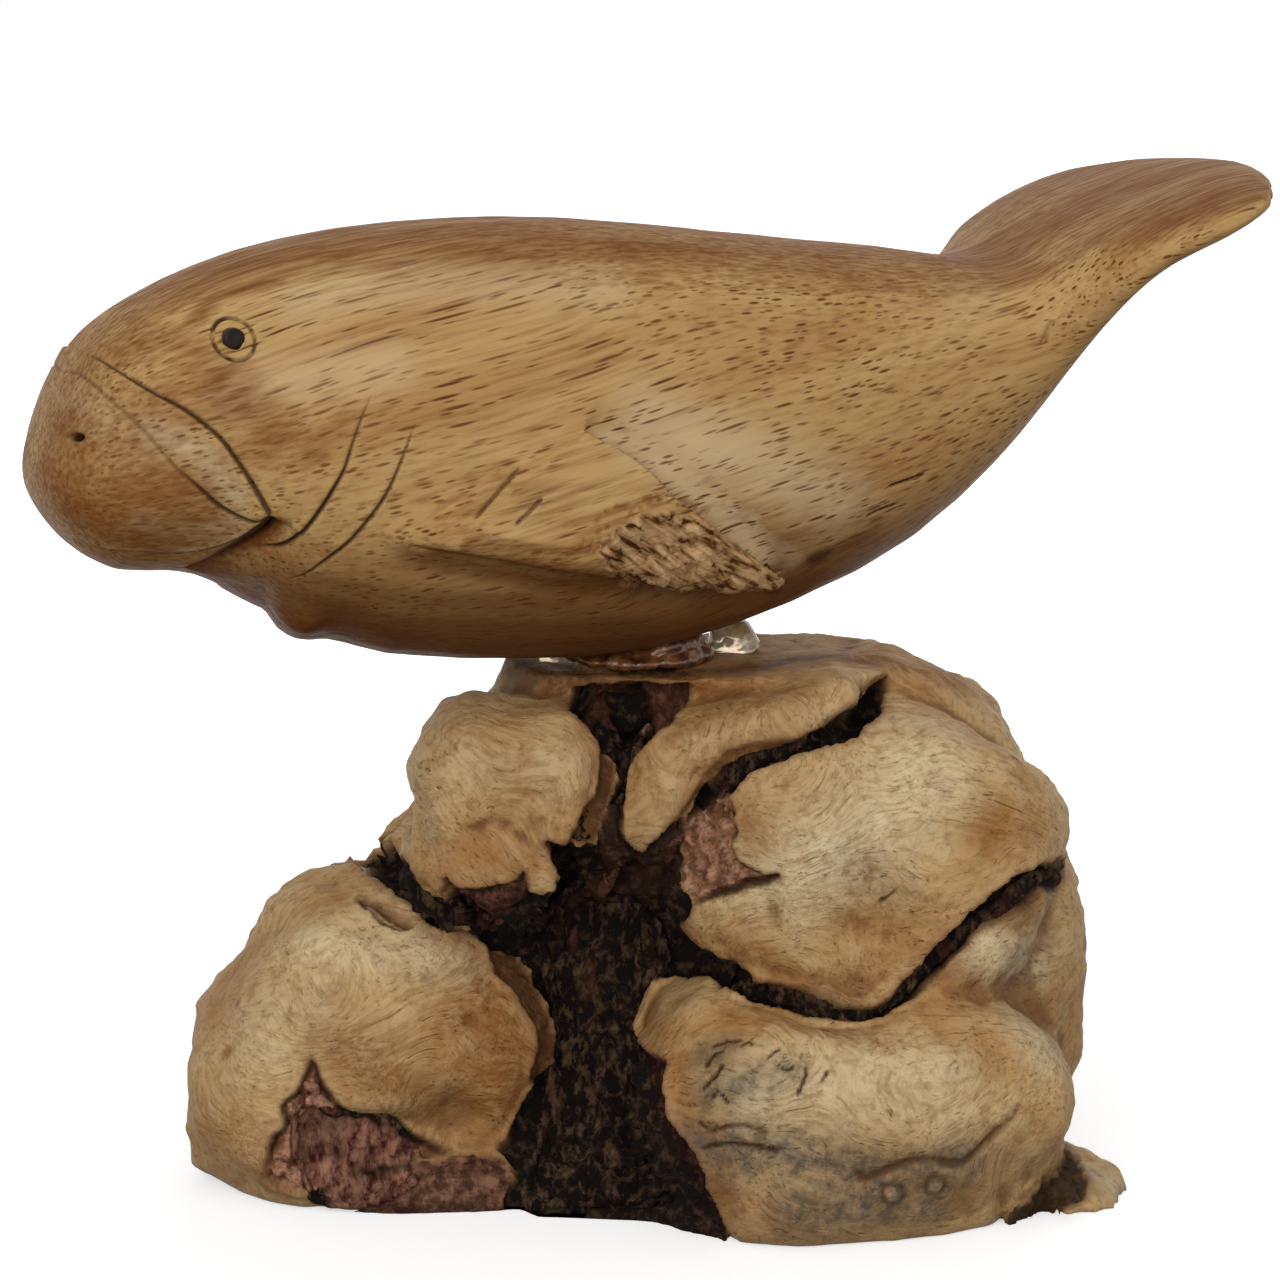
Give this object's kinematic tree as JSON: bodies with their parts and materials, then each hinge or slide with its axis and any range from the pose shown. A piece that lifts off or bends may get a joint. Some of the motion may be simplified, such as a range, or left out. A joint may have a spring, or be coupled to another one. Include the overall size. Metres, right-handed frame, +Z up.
{
  "type": "wooden manatee carving",
  "caption": "Carved wooden manatee with flippers and a paddle tail, dowelled and glued over a natural burl root base; a free-standing shelf ornament.",
  "frame": {"origin": "on the root's sawn underside, straight below the dowel", "axes": "+Z up, -Y towards the root's good face, +X towards the tail end"},
  "size_m": [0.1528, 0.0922, 0.1256],
  "materials": {
    "carved_wood": "oiled, satin, open brown pores",
    "eye_inlay": "polished black",
    "dowel_wood": "plain turned",
    "glue": "hardened, glossy, red brown",
    "clear_glue": "hardened, clear, glossy",
    "burl_wood": "smoothed by hand, lightly oiled",
    "ingrown_bark": "raw, rough, dark"
  },
  "bodies": {
    "root": {"manatee_body": "carved_wood", "left_eye": "eye_inlay", "right_eye": "eye_inlay", "mounting_dowel": "dowel_wood", "glue_collar": "glue", "glue_drop_tail_side": "clear_glue", "glue_drop_head_side": "clear_glue", "root_base": "burl_wood", "bark_main": "ingrown_bark", "bark_left": "ingrown_bark", "bark_upper": "ingrown_bark", "bark_right": "ingrown_bark", "bark_foot": "ingrown_bark", "bark_back": "ingrown_bark", "bark_back_left": "ingrown_bark", "bark_back_right": "ingrown_bark"}
  },
  "joints": []
}
